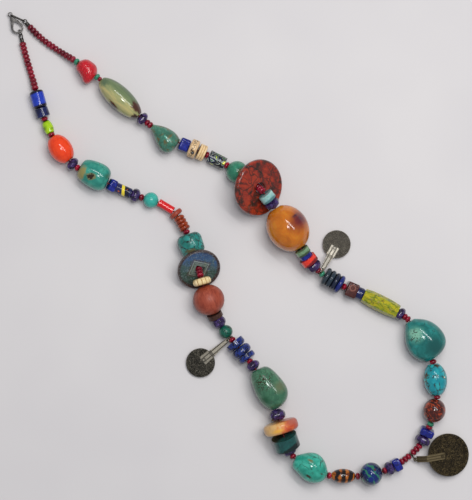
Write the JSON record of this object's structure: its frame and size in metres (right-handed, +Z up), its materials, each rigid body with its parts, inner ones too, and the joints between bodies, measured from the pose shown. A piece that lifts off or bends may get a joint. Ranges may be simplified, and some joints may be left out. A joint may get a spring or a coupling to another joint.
{
  "type": "bead necklace",
  "caption": "Long necklace of mixed round, oval, tubular and nugget beads with three coin pendants, two pierced discs and a lobster clasp, lying as a loop.",
  "frame": {"origin": "centre of the base of the whole box, on the surface that the necklace lies on", "axes": "+Y toward the clasp, -Y toward the front of the necklace, +Z up from the surface, +X to the side of the jasper donut"},
  "size_m": [0.1276, 0.3882, 0.0249],
  "materials": {
    "agate_barrel": "polished",
    "agate_disc": "polished",
    "amber_oval": "polished resin",
    "amethyst_beads": "faceted",
    "aqua_cylinder": "gloss",
    "blue_tube": "gloss",
    "bone_melon": "satin",
    "bone_printed": "satin",
    "bone_stack": "satin",
    "brick_disc": "matt",
    "bronze_disc": "aged",
    "carnelian_ribbed": "polished",
    "clasp_body": "plated steel",
    "clasp_lever": "plated steel",
    "cobalt_beads": "gloss",
    "coin_pendant_front": "dark, aged",
    "coin_pendant_left": "dark, silvered",
    "coin_pendant_right": "dark, silvered",
    "coin_rings": "dark, aged",
    "coral_barrel": "gloss",
    "coral_disc": "gloss",
    "coral_nugget": "gloss resin",
    "coral_tube": "gloss",
    "crimps": "dark plated",
    "cube_bead": "gloss",
    "green_nugget": "polished",
    "green_round": "polished",
    "green_seeds": "gloss",
    "jasper_donut": "polished",
    "jasper_oval": "polished",
    "jump_ring": "plated steel",
    "lapis_discs": "gloss",
    "lime_barrel": "gloss",
    "malachite_round": "polished",
    "mosaic_tube": "gloss",
    "navy_beads": "gloss",
    "navy_coil": "gloss",
    "neck_seeds_left": "gloss",
    "neck_seeds_right": "gloss",
    "olive_disc": "gloss",
    "red_seeds": "gloss",
    "slate_disc": "honed",
    "swirl_glass": "gloss",
    "tail_link": "dark plated",
    "teal_cylinder": "gloss",
    "teardrop": "polished",
    "thread": "waxed",
    "tiger_oval": "polished",
    "trade_tube": "gloss",
    "turquoise_block": "polished",
    "turquoise_heart": "polished",
    "turquoise_oval": "polished",
    "turquoise_pebble": "polished",
    "turquoise_round": "polished",
    "turquoise_weathered": "worn",
    "wood_round": "satin",
    "yellow_tube": "gloss"
  },
  "bodies": {
    "necklace": {"agate_barrel": "agate_barrel", "agate_disc": "agate_disc", "amber_oval": "amber_oval", "amethyst_beads": "amethyst_beads", "aqua_cylinder": "aqua_cylinder", "blue_tube": "blue_tube", "bone_melon": "bone_melon", "bone_printed": "bone_printed", "bone_stack": "bone_stack", "brick_disc": "brick_disc", "bronze_disc": "bronze_disc", "carnelian_ribbed": "carnelian_ribbed", "clasp_body": "clasp_body", "cobalt_beads": "cobalt_beads", "coin_pendant_front": "coin_pendant_front", "coin_pendant_left": "coin_pendant_left", "coin_pendant_right": "coin_pendant_right", "coin_rings": "coin_rings", "coral_barrel": "coral_barrel", "coral_disc": "coral_disc", "coral_nugget": "coral_nugget", "coral_tube": "coral_tube", "crimps": "crimps", "cube_bead": "cube_bead", "green_nugget": "green_nugget", "green_round": "green_round", "green_seeds": "green_seeds", "jasper_donut": "jasper_donut", "jasper_oval": "jasper_oval", "jump_ring": "jump_ring", "lapis_discs": "lapis_discs", "lime_barrel": "lime_barrel", "malachite_round": "malachite_round", "mosaic_tube": "mosaic_tube", "navy_beads": "navy_beads", "navy_coil": "navy_coil", "neck_seeds_left": "neck_seeds_left", "neck_seeds_right": "neck_seeds_right", "olive_disc": "olive_disc", "red_seeds": "red_seeds", "slate_disc": "slate_disc", "swirl_glass": "swirl_glass", "tail_link": "tail_link", "teal_cylinder": "teal_cylinder", "teardrop": "teardrop", "thread": "thread", "tiger_oval": "tiger_oval", "trade_tube": "trade_tube", "turquoise_block": "turquoise_block", "turquoise_heart": "turquoise_heart", "turquoise_oval": "turquoise_oval", "turquoise_pebble": "turquoise_pebble", "turquoise_round": "turquoise_round", "turquoise_weathered": "turquoise_weathered", "wood_round": "wood_round", "yellow_tube": "yellow_tube"},
    "lever": {"clasp_lever": "clasp_lever"}
  },
  "joints": [
    {"name": "lever_hinge", "type": "hinge", "parent": "necklace", "child": "lever", "pos_m": [0.00507, 0.18877, 0.002], "axis": [0, 0, -1], "range_deg": [0, 20], "stiffness_Nm_per_rad": 0.02, "springref_deg": -5.73}
  ]
}
